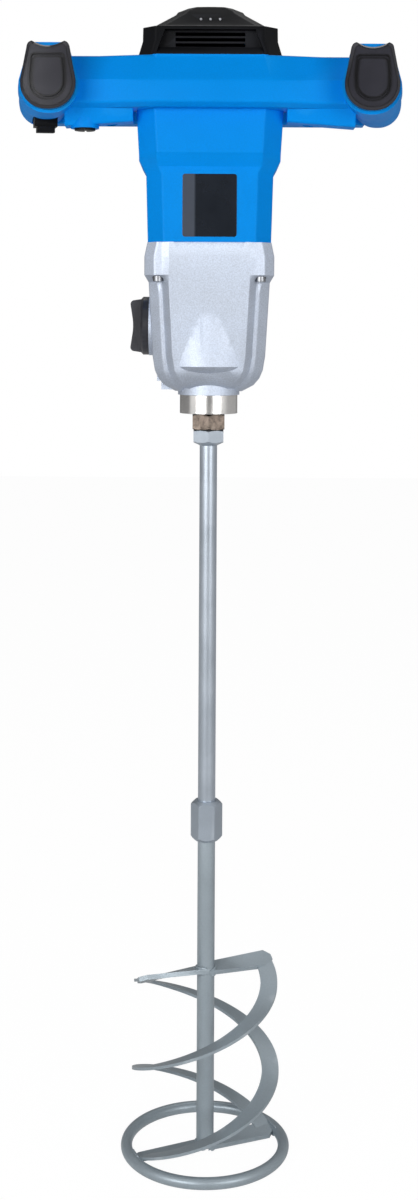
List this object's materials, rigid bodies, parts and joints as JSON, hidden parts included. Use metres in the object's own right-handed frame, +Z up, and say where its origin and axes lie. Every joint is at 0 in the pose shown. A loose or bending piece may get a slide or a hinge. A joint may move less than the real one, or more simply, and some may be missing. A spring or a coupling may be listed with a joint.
{
  "type": "mixing drill",
  "caption": "Hand-held electric mixing drill with a loop-shaped double handle, blue motor barrel, cast gear housing and a rod with a helical ribbon paddle and ring.",
  "frame": {"origin": "on the spindle axis, in the lower face of the nose collar", "axes": "+Z up along the spindle axis towards the motor; -Y is the front, which carries the label place and the bumpers"},
  "size_m": [0.3264, 0.193, 0.9139],
  "materials": {
    "blue_housing_plastic": "satin moulded, azure blue",
    "black_cap_plastic": "fine-grained, black",
    "black_rubber": "satin charcoal",
    "selector_plastic": "satin black",
    "trigger_plastic": "satin black",
    "blasted_aluminium": "blasted casting",
    "machined_steel": "turned bright",
    "zinc_rod": "satin, light grey",
    "paddle_paint": "powder coat, grey",
    "label_film": "bare dark plate",
    "bearing_steel": "ground",
    "gear_steel": "hardened, oiled",
    "core_steel": "stacked laminations",
    "winding_copper": "enamelled wire",
    "commutator_copper": "turned",
    "brush_carbon": "pressed carbon",
    "fan_plastic": "moulded black",
    "inner_plastic": "moulded black",
    "screw_steel": "zinc plated, dull",
    "seal_rubber": "moulded"
  },
  "bodies": {
    "machine": {"motor_housing": "blue_housing_plastic", "handle_lower_shell": "blue_housing_plastic", "handle_upper_shell": "blue_housing_plastic", "top_cap": "black_cap_plastic", "label_plate": "label_film", "left_bumper": "black_rubber", "right_bumper": "black_rubber", "gear_housing": "blasted_aluminium", "bearing_plate": "blasted_aluminium", "nose_collar": "machined_steel", "spindle_seal": "seal_rubber", "spindle_bearing_lower": "bearing_steel", "spindle_bearing_upper": "bearing_steel", "armature_bearing_lower": "bearing_steel", "armature_bearing_upper": "bearing_steel", "countershaft_bearing_lower": "bearing_steel", "countershaft_bearing_upper": "bearing_steel", "fork_rail": "bearing_steel", "stator_core": "core_steel", "field_coils": "winding_copper", "brush_holders": "inner_plastic", "carbon_brushes": "brush_carbon", "rear_bracket": "inner_plastic", "housing_screws": "screw_steel", "handle_screws": "screw_steel", "barrel_screws": "screw_steel", "cap_screws": "screw_steel", "switch_body": "inner_plastic", "trigger_pin": "bearing_steel", "speed_module": "inner_plastic", "cable_inlet": "black_rubber"},
    "spindle": {"spindle": "machined_steel", "low_gear": "gear_steel", "mixing_rod": "zinc_rod", "rod_coupling": "zinc_rod", "paddle_shaft": "paddle_paint", "top_arms": "paddle_paint", "bottom_arms": "paddle_paint", "ribbon_a": "paddle_paint", "ribbon_b": "paddle_paint", "paddle_ring": "paddle_paint"},
    "countershaft": {"countershaft": "gear_steel", "first_reduction_gear": "gear_steel"},
    "armature": {"armature_shaft": "gear_steel", "armature_core": "core_steel", "armature_winding": "winding_copper", "commutator": "commutator_copper", "cooling_fan": "fan_plastic"},
    "high_gear": {"high_gear": "gear_steel"},
    "shift_sleeve": {"shift_sleeve": "gear_steel"},
    "shift_fork": {"shift_fork": "gear_steel"},
    "selector": {"selector": "selector_plastic"},
    "trigger": {"trigger": "trigger_plastic"},
    "speed_dial": {"speed_dial": "selector_plastic"}
  },
  "joints": [
    {"name": "spindle_spin", "type": "hinge", "parent": "machine", "child": "spindle", "pos_m": [0, 0, 0], "axis": [0, 0, 1], "continuous": true},
    {"name": "countershaft_spin", "type": "hinge", "parent": "machine", "child": "countershaft", "pos_m": [0, 0.024, 0.08], "axis": [0, 0, 1], "continuous": true},
    {"name": "armature_spin", "type": "hinge", "parent": "machine", "child": "armature", "pos_m": [0, 0, 0.18], "axis": [0, 0, 1], "continuous": true},
    {"name": "high_gear_spin", "type": "hinge", "parent": "machine", "child": "high_gear", "pos_m": [0, 0, 0.087], "axis": [0, 0, 1], "continuous": true},
    {"name": "selector_turn", "type": "hinge", "parent": "machine", "child": "selector", "pos_m": [-0.048, 0, 0.07], "axis": [1, 0, 0], "range_deg": [0, 90]},
    {"name": "shift_fork_slide", "type": "slide", "parent": "machine", "child": "shift_fork", "axis": [0, 0, 1], "range_m": [0, 0.007]},
    {"name": "shift_sleeve_slide", "type": "slide", "parent": "spindle", "child": "shift_sleeve", "axis": [0, 0, 1], "range_m": [0, 0.007]},
    {"name": "trigger_squeeze", "type": "hinge", "parent": "machine", "child": "trigger", "pos_m": [-0.1376, 0.038, 0.247], "axis": [-0.9919, -0.1268, 0], "range_deg": [0, 5], "stiffness_Nm_per_rad": 2, "springref_deg": -8.59},
    {"name": "dial_turn", "type": "hinge", "parent": "machine", "child": "speed_dial", "pos_m": [-0.097, -0.048, 0.23], "axis": [0, 0, -1], "range_deg": [0, 270]}
  ],
  "couplings": [
    {"joint": "countershaft_spin", "follows": "spindle_spin", "ratio": -4.7143},
    {"joint": "armature_spin", "follows": "spindle_spin", "ratio": 27.612},
    {"joint": "high_gear_spin", "follows": "spindle_spin", "ratio": 1.5714},
    {"joint": "shift_fork_slide", "follows": "selector_turn", "m_per_rad": 0.0044563},
    {"joint": "shift_sleeve_slide", "follows": "selector_turn", "m_per_rad": 0.0044563}
  ]
}
